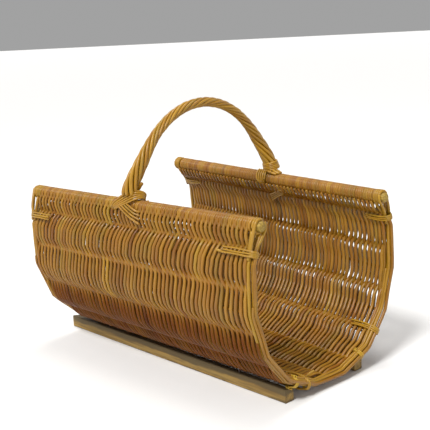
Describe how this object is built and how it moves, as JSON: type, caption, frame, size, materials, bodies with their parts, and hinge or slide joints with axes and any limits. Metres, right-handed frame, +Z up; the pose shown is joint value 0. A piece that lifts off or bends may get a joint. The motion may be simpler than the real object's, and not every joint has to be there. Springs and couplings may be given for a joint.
{
  "type": "woven wicker basket",
  "caption": "Open-ended woven willow log carrier: a U-shaped trough between two wrapped rails, with a roped bow handle and wooden floor runners.",
  "frame": {"origin": "on the ground under the middle of the whole basket, at the bottom centre of its bounding box", "axes": "+X along the rails towards the narrower right-hand open end, +Y across towards the back rail, +Z up through the handle"},
  "size_m": [0.5644, 0.3972, 0.4479],
  "materials": {
    "rail_pole": "peeled round pole with pale green-yellow cut ends, satin",
    "rib_stake": "peeled willow stake, satin",
    "willow_weave": "buff willow rods, golden to reddish brown, satin sheen",
    "border_willow": "pale buff willow rods, satin sheen",
    "handle_core": "willow stake, satin",
    "handle_willow": "pale golden willow rods, satin sheen",
    "binding_willow": "pale split willow skein, satin",
    "runner_wood": "weathered olive-grey softwood, matt",
    "steel_nail": "plain steel"
  },
  "bodies": {
    "root": {"back_handle_collar": "handle_willow", "back_handle_lashing_left": "handle_willow", "back_handle_lashing_right": "handle_willow", "back_rail": "rail_pole", "back_rail_wrap": "willow_weave", "back_runner": "runner_wood", "back_runner_nail_1": "steel_nail", "back_runner_nail_2": "steel_nail", "back_runner_tie": "binding_willow", "front_handle_collar": "handle_willow", "front_handle_lashing_left": "handle_willow", "front_handle_lashing_right": "handle_willow", "front_rail": "rail_pole", "front_rail_wrap": "willow_weave", "front_runner": "runner_wood", "front_runner_nail_1": "steel_nail", "front_runner_nail_2": "steel_nail", "front_runner_tie": "binding_willow", "handle_bow": "handle_core", "handle_strand_1": "handle_willow", "handle_strand_2": "handle_willow", "handle_strand_3": "handle_willow", "handle_strand_4": "handle_willow", "handle_strand_5": "handle_willow", "left_border_rod_1": "border_willow", "left_border_rod_2": "border_willow", "left_border_rod_3": "border_willow", "left_border_tie_1": "binding_willow", "left_border_tie_2": "binding_willow", "left_border_tie_3": "binding_willow", "left_border_tie_4": "binding_willow", "rib_01": "rib_stake", "rib_02": "rib_stake", "rib_03": "rib_stake", "rib_04": "rib_stake", "rib_05": "rib_stake", "rib_06": "rib_stake", "rib_07": "rib_stake", "rib_08": "rib_stake", "rib_09": "rib_stake", "rib_10": "rib_stake", "right_border_rod_1": "border_willow", "right_border_rod_2": "border_willow", "right_border_rod_3": "border_willow", "right_border_tie_1": "binding_willow", "right_border_tie_2": "binding_willow", "right_border_tie_3": "binding_willow", "right_border_tie_4": "binding_willow", "weave_band_01": "willow_weave", "weave_band_02": "willow_weave", "weave_band_03": "willow_weave", "weave_band_04": "willow_weave", "weave_band_05": "willow_weave", "weave_band_06": "willow_weave", "weave_band_07": "willow_weave", "weave_band_08": "willow_weave", "weave_band_09": "willow_weave", "weave_band_10": "willow_weave", "weave_band_11": "willow_weave"}
  },
  "joints": []
}
